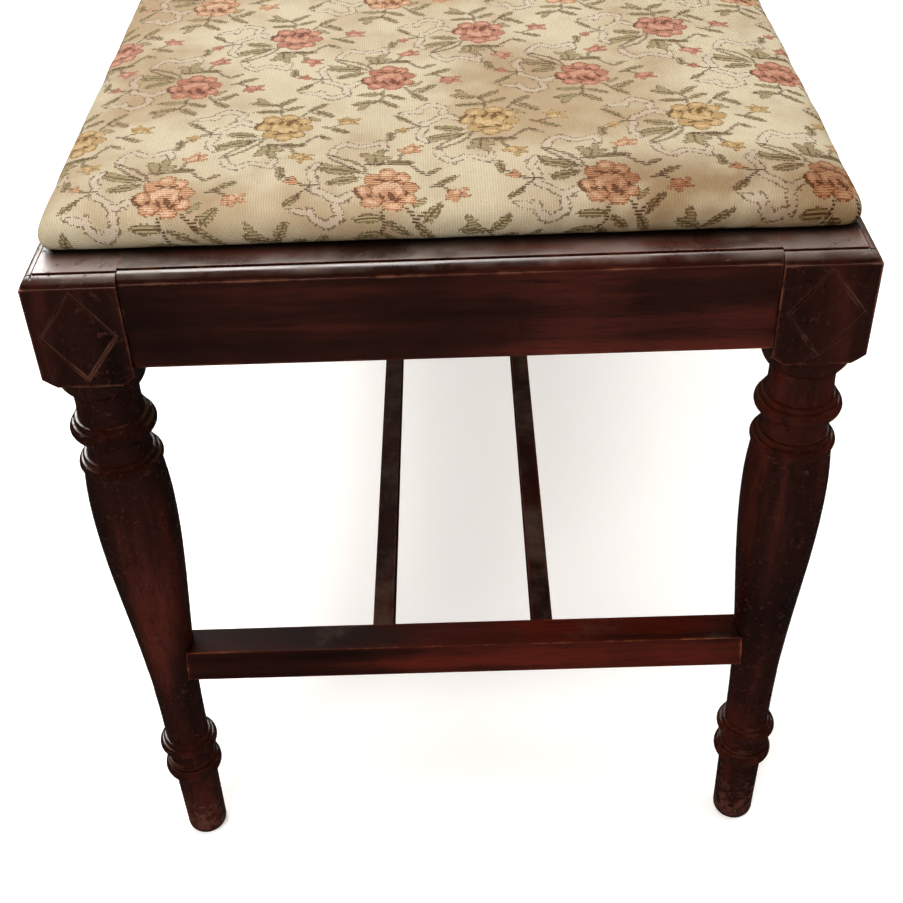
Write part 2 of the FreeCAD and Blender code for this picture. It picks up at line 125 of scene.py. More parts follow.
# Shares of the pattern, and the step in degrees to which its shapes' turns are rounded
BROKEN_THREADS = 0.34
SEAM_REACH = 0.13
FAR_REACH = 99.0
CLOTH_SKEW = 0.02
TURN_STEP = 15

# Turn in radians of the wave texture over one unit of a place, at a scale of 1
WAVE_RATE = 20.0

# Weave and soiling, in metres of flat cloth
RIB_SPACING = 1.25 * MM
PICK_SPACING = 0.8 * MM
WEAVE_DEPTH = 0.22 * MM
HANDLED_FROM_DEPTH = 80.0 * MM
HANDLED_TO_DEPTH = 35.0 * MM
HANDLED_FROM_ACROSS = 15.0 * MM
HANDLED_TO_ACROSS = 85.0 * MM


def srgb(red, green, blue):
    """Linear colour with alpha from 0 to 255 display values."""
    def linear(value):
        share = value / 255
        return share / 12.92 if share <= 0.04045 else ((share + 0.055) / 1.055) ** 2.4
    return linear(red), linear(green), linear(blue), 1.0


# Colours of the polished wood
GRAIN_DARK = srgb(14, 4, 3)
GRAIN_MIDDLE = srgb(33, 9, 4)
GRAIN_LIGHT = srgb(70, 18, 7)
PORE = srgb(14, 6, 4)
EDGE_RED = srgb(84, 32, 18)
RUBBED_WOOD = srgb(128, 70, 44)
CHIPPED_WOOD = srgb(170, 132, 112)
INCISED_LINE = srgb(112, 80, 62)
BARE_FOOT = srgb(80, 36, 23)
# Grey of a dusty film, lightened to be painted sheen on faces that look up
DUST_AND_SHEEN = srgb(80, 66, 57)
# Near black of old dirt, also painted shade in hollows and under the seat's edge
DIRT_AND_SHADE_BLACK = srgb(10, 6, 5)

# Colours of the hidden wood
PINE_PALE = srgb(186, 148, 102)
PINE_MIDDLE = srgb(164, 120, 76)
PINE_RING = srgb(134, 90, 54)
PINE_FIBRE = srgb(120, 84, 54)
PINE_AGED = srgb(112, 82, 58)

# Colours of the ironmongery: bright, dull and rusty
IRON = [srgb(96, 90, 84), srgb(58, 52, 48), srgb(86, 52, 34)]
STEEL = [srgb(150, 146, 140), srgb(104, 98, 92), srgb(108, 70, 46)]

# Colours of the floor and the walls, each mottled between two tones
FLOOR_TONES = [srgb(246, 245, 243), srgb(250, 250, 249)]
WALL_TONES = [srgb(120, 119, 117), srgb(122, 121, 119)]

# Colours of the threads; each rose has a body, a light and a dark one
GROUND_CREAM = srgb(175, 166, 142)
GROUND_STAIN = srgb(146, 126, 98)
GROUND_SPOT = srgb(120, 98, 70)
GROUND_DARK = srgb(114, 95, 73)
RIBBON = srgb(172, 160, 147)
RIBBON_EDGE = srgb(80, 60, 43)
LEAF = srgb(142, 130, 96)
LEAF_HATCH = srgb(70, 51, 27)
LEAF_EDGE = srgb(58, 37, 19)
LEAF_VEIN = srgb(52, 33, 16)
STEM = srgb(56, 32, 17)
ORANGE = [srgb(150, 103, 72), srgb(190, 160, 132), srgb(72, 39, 19)]
PINK = [srgb(135, 80, 63), srgb(176, 132, 110), srgb(68, 34, 21)]
YELLOW = [srgb(142, 115, 71), srgb(180, 155, 116), srgb(70, 46, 21)]
ROSE = [srgb(139, 85, 69), srgb(180, 138, 117), srgb(70, 37, 23)]
RIB_SHADE = srgb(108, 86, 62)
GRIME = srgb(176, 142, 104)
HANDLED = srgb(164, 130, 94)


class Nodes:
    """Adds shader nodes to a tree and links them, so that a material reads as a formula."""

    def __init__(self, tree):
        self.tree = tree

    def add(self, kind, **settings):
        """New node with its settings."""
        node = self.tree.nodes.new(kind)
        for name, value in settings.items():
            setattr(node, name, value)
        return node

    def feed(self, socket, value):
        """Links a socket to another one, or sets its number, vector or colour."""
        if isinstance(value, bpy.types.NodeSocket):
            self.tree.links.new(value, socket)
        elif value is not None:
            socket.default_value = value

    def place(self):
        """Place on the piece, in its own coordinates."""
        return self.add("ShaderNodeTexCoord").outputs["Object"]

    def parts(self, vector):
        """X, Y and Z of a place or a direction, by name."""
        node = self.add("ShaderNodeSeparateXYZ")
        self.feed(node.inputs[0], vector)
        return node.outputs

    def math(self, operation, *values, clamp=False):
        """Sum, limit or other operation on numbers."""
        node = self.add("ShaderNodeMath", operation=operation, use_clamp=clamp)
        for socket, value in zip(node.inputs, values):
            self.feed(socket, value)
        return node.outputs[0]

    def plus(self, first, second):
        return self.math("ADD", first, second)

    def minus(self, first, second):
        return self.math("SUBTRACT", first, second)

    def times(self, first, second):
        return self.math("MULTIPLY", first, second)

    def vector(self, operation, *values):
        """Operation on vectors; a length and a dot product are numbers."""
        node = self.add("ShaderNodeVectorMath", operation=operation)
        for socket, value in zip(node.inputs, values):
            self.feed(socket, value)
        return node.outputs["Value" if operation in ("LENGTH", "DOT_PRODUCT") else "Vector"]

    def ease(self, value, start, end):
        """Smooth step from 0 at the start to 1 at the end; the end may be below the start."""
        node = self.add("ShaderNodeMapRange", interpolation_type="SMOOTHSTEP")
        low, high = min(start, end), max(start, end)
        self.feed(node.inputs["Value"], value)
        self.feed(node.inputs["From Min"], low)
        self.feed(node.inputs["From Max"], high)
        self.feed(node.inputs["To Min"], 0.0 if start < end else 1.0)
        self.feed(node.inputs["To Max"], 1.0 if start < end else 0.0)
        return node.outputs["Result"]

    def mix(self, share, first, second, blend="MIX"):
        """First colour with a share of the second; the node's colours are inputs 6 and 7 and output 2."""
        node = self.add("ShaderNodeMix", data_type="RGBA", blend_type=blend, clamp_factor=True)
        self.feed(node.inputs[0], share)
        self.feed(node.inputs[6], first)
        self.feed(node.inputs[7], second)
        return node.outputs[2]

    def noise(self, place, scale, detail=3.0, roughness=0.55, seed=0.0):
        """Soft noise about 0.5, another one for each seed."""
        node = self.add("ShaderNodeTexNoise", noise_dimensions="4D")
        self.feed(node.inputs["Vector"], place)
        self.feed(node.inputs["W"], seed)
        self.feed(node.inputs["Scale"], scale)
        self.feed(node.inputs["Detail"], detail)
        self.feed(node.inputs["Roughness"], roughness)
        return node.outputs["Fac"]

    def ramp(self, value, *stops):
        """Colour of a value, between stops that are pairs of a value and its colour."""
        node = self.add("ShaderNodeValToRGB")
        elements = node.color_ramp.elements
        while len(elements) < len(stops):
            elements.new(0.5)
        for element, (place, colour) in zip(elements, stops):
            element.position = place
            element.color = colour
        self.feed(node.inputs["Fac"], value)
        return node.outputs["Color"]

    def bump(self, height, depth, normal=None):
        """Normal of a surface that a height of 1 raises by the depth."""
        node = self.add("ShaderNodeBump")
        node.inputs["Distance"].default_value = depth
        self.feed(node.inputs["Height"], height)
        self.feed(node.inputs["Normal"], normal)
        return node.outputs["Normal"]


def new_material(name):
    """Empty node material with its shader, and the helper that fills it."""
    material = bpy.data.materials.new(name)
    material.use_nodes = True
    shader = material.node_tree.nodes["Principled BSDF"]
    return material, shader, Nodes(material.node_tree)


def grain_place(nodes, along, stretch):
    """Coordinates of the piece, plain and drawn out along the grain."""
    place = nodes.place()
    scale = [1.0, 1.0, 1.0]
    scale["XYZ".index(along)] = 1 / stretch
    return place, nodes.vector("MULTIPLY", place, scale)


def wood_grain(nodes, along, redness, seed):
    """Reddish brown grain: its colour, its pores and its broad patches."""
    place, drawn = grain_place(nodes, along, GRAIN_STRETCH)
    figure = nodes.noise(drawn, 60.0, 5.0, 0.6, seed)
    pores = nodes.noise(drawn, 900.0, 2.0, 0.5, seed + 1)
    patches = nodes.noise(place, 9.0, 3.0, 0.5, seed + 2)
    tone = nodes.plus(nodes.times(figure, 0.6), nodes.times(patches, 0.5))
    shift = 0.62 - 0.14 * redness
    colour = nodes.ramp(tone, (shift - 0.16, GRAIN_DARK), (shift, GRAIN_MIDDLE), (shift + 0.18, GRAIN_LIGHT))
    pitted = nodes.times(nodes.ease(pores, 0.46, 0.36), 0.5)
    return nodes.mix(pitted, colour, PORE), pores, patches


def sharp_edges(nodes, normal):
    """1 along the sharp edges of a piece, which hands and feet rub."""
    bevel = nodes.add("ShaderNodeBevel", samples=4)
    bevel.inputs["Radius"].default_value = EDGE_RADIUS
    return nodes.ease(nodes.vector("DOT_PRODUCT", bevel.outputs[0], normal), 0.985, 0.80)


def rubbed_edges(nodes, colour, place, normal, seed):
    """Colour with its sharp edges lightened, and the share that is rubbed to the bare wood."""
    edge = sharp_edges(nodes, normal)
    rubbed = nodes.ease(nodes.noise(place, 55.0, 5.0, 0.65, seed), 0.48, 0.64)
    worn = nodes.times(edge, rubbed)
    colour = nodes.mix(nodes.times(edge, 0.5), colour, EDGE_RED)
    return nodes.mix(nodes.times(worn, 0.85), colour, RUBBED_WOOD), worn


def scuffs(nodes, place, seed):
    """1 on small flakes and scuffs knocked out of the polish, in loose groups."""
    flake = nodes.ease(nodes.noise(place, 170.0, 2.0, 0.5, seed), 0.73, 0.75)
    return nodes.times(flake, nodes.ease(nodes.noise(place, 30.0, 2.0, 0.5, seed + 1), 0.56, 0.62))


def lozenge_line(nodes, place, normal):
    """1 along the incised lozenge on the outer faces of the legs' square tops."""
    position = nodes.parts(nodes.vector("ABSOLUTE", place))
    facing = nodes.parts(nodes.vector("ABSOLUTE", normal))
    from_axis_x = nodes.math("ABSOLUTE", nodes.minus(position["X"], LEG_AXIS_X))
    from_axis_y = nodes.math("ABSOLUTE", nodes.minus(position["Y"], LEG_AXIS_Y))
    end_face = nodes.math("GREATER_THAN", facing["X"], 0.7)
    aside = nodes.plus(nodes.times(from_axis_y, end_face),
                       nodes.times(from_axis_x, nodes.minus(1.0, end_face)))
    above = nodes.math("ABSOLUTE", nodes.minus(position["Z"], LOZENGE_Z))
    reach = nodes.plus(nodes.math("DIVIDE", aside, LOZENGE_HALF_WIDTH),
                       nodes.math("DIVIDE", above, LOZENGE_HALF_HEIGHT))
    off_line = nodes.math("ABSOLUTE", nodes.minus(reach, LOZENGE_LINE_SHARE))
    on_side = nodes.ease(facing["Z"], 0.8, 0.6)
    return nodes.times(nodes.ease(off_line, 0.022, 0.008), on_side)


def worn_foot(nodes, place, seed):
    """Share of bare rough wood on a leg's foot: speckled at the ankle and nearly whole at the sole."""
    low = nodes.ease(nodes.parts(place)["Z"], FOOT_WEAR_HEIGHT, 0.0)
    speckle = nodes.noise(place, 230.0, 4.0, 0.7, seed)
    return nodes.ease(nodes.plus(speckle, nodes.times(low, 0.2)), 0.56, 0.74)


def leg_marks(nodes, colour, place, normal, seed):
    """Colour with a leg's chalky lozenge and bare foot, and the share of bare wood."""
    chalky = nodes.ease(nodes.noise(place, 70.0, 3.0, 0.6, seed), 0.34, 0.66)
    line = nodes.times(lozenge_line(nodes, place, normal), chalky)
    colour = nodes.mix(nodes.times(line, 0.7), colour, INCISED_LINE)
    bare = worn_foot(nodes, place, seed + 1)
    return nodes.mix(nodes.times(bare, 0.75), colour, BARE_FOOT), bare


def dust_and_sheen_on_top(nodes, place, normal, dust_and_sheen, leg, seed):
    """Share of dusty film and painted sheen on what faces up; on a leg it lies on the flat top alone."""
    film = nodes.ease(nodes.noise(place, 26.0, 5.0, 0.65, seed), 0.62 - 0.4 * dust_and_sheen, 0.92 - 0.4 * dust_and_sheen)
    lying_dust_and_sheen = nodes.times(nodes.ease(nodes.parts(normal)["Z"], 0.25, 0.80), film)
    if leg:
        lying_dust_and_sheen = nodes.times(lying_dust_and_sheen, nodes.ease(nodes.parts(place)["Z"], DUST_AND_SHEEN_LOW_Z, DUST_AND_SHEEN_HIGH_Z))
    return lying_dust_and_sheen


def dirt_and_painted_shade(nodes):
    """Share of old polish and dirt with painted shade, by occlusion: black in narrow grooves, and a light
    film round hollows and joints.
    """
    shade = nodes.add("ShaderNodeAmbientOcclusion", samples=6)
    shade.inputs["Distance"].default_value = DIRT_AND_SHADE_REACH
    narrow = nodes.times(nodes.ease(shade.outputs["AO"], 0.70, 0.42), 0.5)
    return nodes.plus(narrow, nodes.times(nodes.ease(shade.outputs["AO"], 0.92, 0.45), 0.5))


def polished_normal(nodes, place, relief, seed):
    """Normal of the polish: softened edges, slow waves, and the fine relief of the wood."""
    soft_edges = nodes.add("ShaderNodeBevel", samples=4)
    soft_edges.inputs["Radius"].default_value = POLISH_RADIUS
    waves = nodes.noise(place, 38.0, 2.0, 0.5, seed)
    rolling = nodes.bump(waves, POLISH_WAVE_DEPTH, soft_edges.outputs[0])
    return nodes.bump(relief, GRAIN_DEPTH, rolling)


def mahogany(name, along, dust_and_sheen=0.5, redness=0.5, seed=0.0, leg=False, dull=0.0):
    """Dark polished wood: worn edges, scuffs, dusty film with painted sheen, dirt with painted shade; a leg
    adds lozenge and worn foot.
    """
    material, shader, nodes = new_material(name)
    place = nodes.place()
    normal = nodes.add("ShaderNodeNewGeometry").outputs["Normal"]
    colour, pores, patches = wood_grain(nodes, along, redness, seed)
    colour, worn = rubbed_edges(nodes, colour, place, normal, seed + 3)
    flakes = scuffs(nodes, place, seed + 4)
    colour = nodes.mix(nodes.times(flakes, LEG_CHIP_SHARE if leg else RAIL_CHIP_SHARE), colour, CHIPPED_WOOD)
    relief = nodes.minus(nodes.times(pores, 0.6), nodes.times(flakes, 0.3))
    if leg:
        colour, bare = leg_marks(nodes, colour, place, normal, seed + 8)
        worn = nodes.math("MAXIMUM", worn, bare)
        relief = nodes.plus(relief, nodes.times(bare, BARE_RELIEF))
    lying_dust_and_sheen = dust_and_sheen_on_top(nodes, place, normal, dust_and_sheen, leg, seed + 6)
    # A dusty film with painted sheen lightens the faces that look up
    colour = nodes.mix(nodes.times(lying_dust_and_sheen, 0.7), colour, DUST_AND_SHEEN)
    # Dirt and painted shade darken grooves, joints and the wood under the seat's edge
    nodes.feed(shader.inputs["Base Color"], nodes.mix(dirt_and_painted_shade(nodes), colour, DIRT_AND_SHADE_BLACK))

    rough = nodes.plus(POLISH_ROUGHNESS + DULL_ROUGHNESS * dull, nodes.times(patches, 0.20))
    rough = nodes.plus(rough, nodes.times(lying_dust_and_sheen, 0.25))
    rough = nodes.math("ADD", rough, nodes.times(worn, 0.3), clamp=True)
    nodes.feed(shader.inputs["Roughness"], rough)
    shader.inputs["Specular IOR Level"].default_value = POLISH_GLOSS - DULL_GLOSS_LOSS * dull
    nodes.feed(shader.inputs["Normal"], polished_normal(nodes, place, relief, seed + 7))
    return material


def pine(name, along, seed=0.0):
    """Plain unpolished wood of the hidden boards, cleats and blocks, browned with age."""
    material, shader, nodes = new_material(name)
    place, drawn = grain_place(nodes, along, PINE_STRETCH)
    rings = nodes.add("ShaderNodeTexWave", wave_type="BANDS", bands_direction="DIAGONAL")
    nodes.feed(rings.inputs["Vector"], drawn)
    rings.inputs["Scale"].default_value = 22.0
    rings.inputs["Distortion"].default_value = 7.0
    rings.inputs["Detail"].default_value = 3.0
    fibre = nodes.noise(drawn, 420.0, 3.0, 0.6, seed)
    age = nodes.noise(place, 7.0, 4.0, 0.6, seed + 1)
    colour = nodes.ramp(rings.outputs["Fac"], (0.1, PINE_PALE), (0.75, PINE_MIDDLE), (0.95, PINE_RING))
    colour = nodes.mix(nodes.ease(fibre, 0.5, 0.75), colour, PINE_FIBRE)
    colour = nodes.mix(nodes.times(nodes.ease(age, 0.4, 0.75), 0.6), colour, PINE_AGED)
    nodes.feed(shader.inputs["Base Color"], colour)
    nodes.feed(shader.inputs["Roughness"], nodes.plus(0.62, nodes.times(fibre, 0.25)))
    relief = nodes.plus(fibre, nodes.times(rings.outputs["Fac"], 0.4))
    nodes.feed(shader.inputs["Normal"], nodes.bump(relief, PINE_DEPTH))
    return material


def metal(name, bright, dull, rust):
    """Small ironmongery, dulled and spotted with rust."""
    material, shader, nodes = new_material(name)
    place = nodes.place()
    spots = nodes.noise(place, 420.0, 4.0, 0.6)
    film = nodes.noise(place, 90.0, 3.0, 0.5, 1.0)
    colour = nodes.mix(film, bright, dull)
    rusty = nodes.ease(spots, 0.52, 0.66)
    colour = nodes.mix(nodes.times(rusty, 0.8), colour, rust)
    nodes.feed(shader.inputs["Base Color"], colour)
    nodes.feed(shader.inputs["Metallic"], nodes.minus(1.0, nodes.times(rusty, 0.8)))
    nodes.feed(shader.inputs["Roughness"], nodes.plus(0.35, nodes.times(rusty, 0.4)))
    nodes.feed(shader.inputs["Normal"], nodes.bump(spots, RUST_DEPTH))
    return material


# Ellipses of one sprig, in millimetres about the middle of its rose: x, y, half length, half width, and turn
# in degrees
PETALS = [
    (0.0, 1.0, 9.5, 8.5, 0), (-0.3, 11.5, 5.0, 4.6, 90), (5.8, 8.8, 4.8, 4.2, 40), (9.6, 2.0, 4.4, 4.0, 0),
    (8.6, -6.0, 4.6, 3.8, -35), (2.0, -11.0, 4.8, 3.6, 0), (-7.0, -8.8, 5.0, 4.2, 35),
    (-11.0, -1.4, 4.4, 4.8, 0), (-6.4, 7.4, 5.2, 4.4, 130), (31.6, -3.6, 4.2, 3.0, -15),
    (35.0, -1.6, 3.2, 1.5, 30), (35.4, -5.0, 3.2, 1.5, -30), (31.4, -7.0, 1.6, 2.6, -15),
    (28.4, -5.6, 2.6, 1.5, 45), (10.0, 34.2, 4.4, 3.0, 45), (13.6, 36.2, 3.2, 1.5, 30),
    (11.0, 38.0, 1.5, 2.8, -15), (13.6, 32.8, 2.8, 1.5, 0), (6.6, 34.2, 2.6, 1.5, 0),
    (-44.0, 7.8, 2.4, 2.2, 0), (-47.0, 8.2, 1.8, 1.3, 0), (-44.2, 10.4, 1.3, 1.8, 0),
]
PETAL_LIGHTS = [
    (-0.8, 3.6, 5.6, 2.4, 10), (-5.6, 0.4, 1.5, 3.6, 10), (5.4, 0.6, 1.4, 3.4, -15),
    (-0.6, 12.6, 2.6, 1.6, 0), (6.6, 9.4, 2.4, 1.5, -45), (-11.6, -0.8, 1.4, 2.4, 0),
    (-7.4, -9.0, 2.6, 1.4, -35), (9.4, -6.2, 2.4, 1.4, 55), (2.0, -11.6, 2.6, 1.2, 0),
    (32.4, -2.2, 2.4, 1.4, 20), (9.2, 34.2, 2.8, 1.2, 42),
]
PETAL_DARKS = [
    (1.6, -4.2, 1.7, 3.4, 12), (-2.8, -4.8, 1.0, 3.2, 30), (4.6, -7.4, 2.6, 0.9, 40),
    (-3.4, 7.6, 3.6, 0.8, -20), (3.6, 6.8, 3.0, 0.8, 30), (-8.4, -4.4, 2.4, 0.8, -50),
    (8.2, -2.0, 2.2, 0.8, 70), (-12.6, -5.2, 3.2, 0.9, -60), (-14.6, -0.6, 0.9, 2.6, 0),
]
LEAVES = [
    (-9.6, -18.8, 6.4, 2.0, 6), (4.0, -22.8, 5.2, 2.0, -36), (-12.6, -28.6, 6.4, 2.4, 12),
    (-13.2, -32.6, 4.8, 2.0, 55), (0.2, -31.0, 6.2, 2.1, -52), (16.2, -23.4, 5.8, 2.1, -44),
    (20.2, -14.2, 5.8, 2.1, 38), (14.2, -8.8, 4.0, 1.6, 40), (28.2, 6.6, 5.6, 1.9, 36),
    (-23.4, 16.2, 8.6, 3.2, -16), (-20.8, 7.4, 7.0, 2.8, 8), (-28.6, 20.2, 3.6, 1.8, -30),
    (-6.2, 25.0, 4.4, 5.4, 0), (-9.8, 28.6, 3.6, 2.2, 130), (-4.0, 30.6, 3.8, 2.2, 75),
    (-1.8, 26.0, 3.4, 2.0, 20), (5.2, 22.2, 6.4, 2.0, 4), (-50.6, 15.0, 2.0, 4.6, 0),
    (-44.6, -5.6, 5.2, 1.8, 48), (22.0, 14.6, 3.4, 1.4, 35),
]
LEAF_VEINS = [
    (-9.6, -18.8, 5.4, 0.6, 6), (4.0, -22.8, 4.4, 0.6, -36), (-12.6, -28.6, 5.4, 0.6, 12),
    (0.2, -31.0, 5.2, 0.6, -52), (16.2, -23.4, 5.0, 0.6, -44), (20.2, -14.2, 5.0, 0.6, 38),
    (28.2, 6.6, 4.8, 0.6, 36), (-23.4, 16.2, 7.4, 0.7, -16), (-20.8, 7.4, 6.0, 0.7, 8),
    (-6.2, 25.0, 0.7, 4.6, 0), (5.2, 22.2, 5.6, 0.6, 4), (-44.6, -5.6, 4.4, 0.6, 48),
    (-50.6, 15.0, 0.6, 4.0, 0),
]
STEMS = [
    (-2.6, -18.4, 0.8, 4.0, 0), (-3.9, -24.4, 0.8, 3.4, -28), (9.8, -15.0, 3.4, 0.8, -55),
    (12.4, -19.2, 2.2, 0.8, -58), (14.4, -16.0, 3.0, 0.7, 38), (25.0, 2.0, 4.0, 0.7, -35),
    (28.8, -0.6, 2.4, 0.7, -30), (21.0, 2.6, 2.0, 0.8, 20), (6.6, 29.6, 1.0, 2.6, -35),
    (5.4, 26.0, 0.8, 2.4, -10), (-1.2, 20.6, 8.4, 0.8, -4), (10.2, 20.2, 2.6, 0.8, -45),
    (12.8, 16.8, 2.8, 0.8, -55), (16.2, 13.2, 2.8, 0.8, -40), (20.0, 12.6, 2.4, 0.8, 25),
    (-10.8, 15.6, 0.8, 3.4, 20), (-14.2, 20.6, 4.2, 0.8, -48), (-19.4, 25.4, 4.4, 0.8, -36),
    (-25.0, 29.0, 3.6, 0.8, -28), (-15.4, 16.0, 4.4, 0.8, -40), (-21.0, 20.8, 4.4, 0.8, -40),
    (-25.6, 25.4, 3.2, 0.8, -46), (-36.4, 5.0, 3.8, 0.7, 6), (-41.0, 6.2, 3.0, 0.7, -20),
    (-47.0, 10.6, 3.4, 0.7, -50), (-39.8, 0.4, 4.0, 0.7, 52),
]
RIBBONS = [
    (-26.6, 34.4, 1.6, 4.2, -12), (-23.0, 40.4, 4.0, 1.5, 40), (-17.0, 40.4, 4.2, 1.5, -28),
    (-11.2, 39.0, 3.6, 1.4, 20), (-5.6, 41.4, 4.0, 1.5, 30), (-2.2, 39.4, 1.4, 3.6, 12),
    (-17.6, -4.2, 4.0, 1.6, 32), (-22.8, -6.6, 3.6, 1.6, -8), (-27.0, -3.6, 3.6, 1.5, -45),
    (-31.6, -0.2, 3.8, 1.5, -28), (-33.8, 5.8, 1.6, 4.2, 6), (-35.6, 13.0, 1.5, 4.6, 10),
    (-34.4, 19.6, 1.4, 3.4, -25), (-22.8, -13.0, 1.6, 4.2, 8), (-26.2, -19.2, 4.4, 1.6, 30),
    (-32.0, -19.4, 3.4, 1.6, -35), (-35.2, -15.0, 1.5, 3.2, 20), (-40.0, -13.6, 4.6, 1.4, -10),
]


def turned_frames(nodes, place):
    """The same place seen in frames turned by even steps up to a right angle, by their turn in degrees."""
    frames = {0: place}
    for turn in range(TURN_STEP, 90, TURN_STEP):
        rotate = nodes.add("ShaderNodeVectorRotate", rotation_type="Z_AXIS")
        nodes.feed(rotate.inputs["Vector"], place)
        rotate.inputs["Angle"].default_value = -math.radians(turn)
        frames[turn] = rotate.outputs[0]
    return frames


def nearest_shapes(nodes, frames, shapes):
    """Reach of the nearest and of the next nearest of some ellipses: 0 at its middle, 1 on its outline."""
    nearest, following = FAR_REACH, FAR_REACH
    for x, y, half_length, half_width, turn in shapes:
        turn = round(turn / TURN_STEP) * TURN_STEP % 180
        if turn >= 90:
            turn, half_length, half_width = turn - 90, half_width, half_length
        middle = Matrix.Rotation(-math.radians(turn), 2) @ Vector((x, y))
        local = nodes.vector("MULTIPLY_ADD", frames[turn], (1 / half_length, 1 / half_width, 0),
                             (-middle.x / half_length, -middle.y / half_width, 0))
        reach = nodes.vector("LENGTH", local)
        following = nodes.math("MINIMUM", following, nodes.math("MAXIMUM", nearest, reach))
        nearest = nodes.math("MINIMUM", nearest, reach)
    return nearest, following


def sprig_group():
    """Node group that draws one sprig: from a place in millimetres to the reach of each kind of shape."""
    group = bpy.data.node_groups.new("woven_sprig", "ShaderNodeTree")
    group.interface.new_socket("Place", in_out="INPUT", socket_type="NodeSocketVector")
    nodes = Nodes(group)
    place = nodes.add("NodeGroupInput").outputs[0]
    kinds = [("Petals", PETALS), ("Lights", PETAL_LIGHTS), ("Darks", PETAL_DARKS), ("Leaves", LEAVES),
             ("Veins", LEAF_VEINS), ("Stems", STEMS), ("Ribbons", RIBBONS)]
    for name in [name for name, _ in kinds] + ["Seams"]:
        group.interface.new_socket(name, in_out="OUTPUT", socket_type="NodeSocketFloat")
    output = nodes.add("NodeGroupOutput")
    frames = turned_frames(nodes, place)
    for name, shapes in kinds:
        nearest, following = nearest_shapes(nodes, frames, shapes)
        nodes.feed(output.inputs[name], nearest)
        if name == "Petals":
            nodes.feed(output.inputs["Seams"], nodes.minus(following, nearest))
    return group


def repeat_place(nodes, across, depth, start_across, start_depth, mirrored):
    """Place in a sprig's own frame, and whether its row along the depth is an odd one."""
    def wrapped(value, start, repeat):
        from_low = nodes.minus(value, start - repeat / 2)
        count = nodes.math("FLOOR", nodes.math("DIVIDE", from_low, repeat))
        return nodes.minus(nodes.minus(value, start), nodes.times(count, repeat)), count
    own_across, _ = wrapped(across, start_across + SPRIG_CELL_SHIFT, REPEAT_ACROSS)
    own_across = nodes.plus(own_across, SPRIG_CELL_SHIFT)
    own_depth, row = wrapped(depth, start_depth, REPEAT_DEPTH)
    if mirrored:
        own_depth = nodes.times(own_depth, -1.0)
    place = nodes.add("ShaderNodeCombineXYZ")
    nodes.feed(place.inputs["X"], own_across)
    nodes.feed(place.inputs["Y"], own_depth)
    return place.outputs[0], nodes.math("FLOORED_MODULO", row, 2.0)


def sprig_layer(nodes, group, ground, place, odd, weave, even_petals, odd_petals):
    """Ground colour with one set of sprigs woven over it: ribbons, leaves and stems, then petals on top."""
    sprig = nodes.add("ShaderNodeGroup", node_tree=group)
    nodes.feed(sprig.inputs["Place"], place)
    reach = sprig.outputs
    hatch, broken = weave

    def inside(name, edge=1.0):
        return nodes.math("LESS_THAN", reach[name], edge)

    def rim(name, outer, inner):
        return nodes.minus(inside(name, outer), inside(name, inner))

    def lay(colour, mask, share, thread):
        return nodes.mix(nodes.times(mask, share), colour, thread)

    colour = lay(ground, inside("Ribbons", 1.4), 0.42, RIBBON)
    colour = lay(colour, rim("Ribbons", 1.7, 1.1), nodes.times(broken, 0.8), RIBBON_EDGE)
    colour = lay(colour, inside("Leaves"), 0.85, LEAF)
    colour = lay(colour, inside("Leaves"), nodes.times(hatch, 0.6), LEAF_HATCH)
    colour = lay(colour, rim("Leaves", 1.2, 0.82), nodes.times(broken, 0.7), LEAF_EDGE)
    colour = lay(colour, inside("Veins"), 0.7, LEAF_VEIN)
    beads = nodes.plus(0.25, nodes.times(hatch, 0.7))
    colour = lay(colour, inside("Stems", 1.3), beads, STEM)

    body, light, dark = [nodes.mix(odd, even, other) for even, other in zip(even_petals, odd_petals)]
    seam = nodes.math("LESS_THAN", reach["Seams"], SEAM_REACH)
    gaps = nodes.times(nodes.minus(1.0, hatch), broken)
    colour = lay(colour, inside("Petals", 1.06), 1.0, body)
    colour = lay(colour, inside("Petals"), nodes.times(hatch, 0.5), light)
    colour = lay(colour, inside("Lights", 1.1), 0.7, light)
    colour = lay(colour, inside("Petals"), nodes.times(gaps, 0.35), dark)
    colour = lay(colour, rim("Petals", 1.10, 0.92), nodes.times(broken, 0.7), dark)
    colour = lay(colour, inside("Petals"), nodes.times(seam, 0.6), dark)
    return lay(colour, inside("Darks", 0.95), 0.85, dark)


def stitch_places(nodes, cloth):
    """Place of the stitch over each point of the cloth, in millimetres; threads drift and strokes shift."""
    thread = nodes.vector("SCALE", cloth)
    thread.node.inputs["Scale"].default_value = 1 / MM
    waver = nodes.add("ShaderNodeTexNoise")
    nodes.feed(waver.inputs["Vector"], cloth)
    waver.inputs["Scale"].default_value = 14.0
    sway = nodes.vector("SUBTRACT", waver.outputs["Color"], (0.5, 0.5, 0.5))
    drawn = nodes.vector("ADD", thread, nodes.vector("MULTIPLY", sway, (THREAD_DRIFT, THREAD_DRIFT, 0.0)))
    stroke = nodes.add("ShaderNodeTexWhiteNoise", noise_dimensions="3D")
    nodes.feed(stroke.inputs["Vector"], nodes.vector("SNAP", drawn, (STROKE_LENGTH, STITCH_DEPTH, 1.0)))
    shift = nodes.add("ShaderNodeCombineXYZ")
    nodes.feed(shift.inputs["X"], nodes.times(stroke.outputs["Value"], STROKE_SHIFT))
    shifted = nodes.vector("ADD", drawn, shift.outputs[0])
    return nodes.vector("SNAP", shifted, (STITCH_ACROSS, STITCH_DEPTH, 1.0))


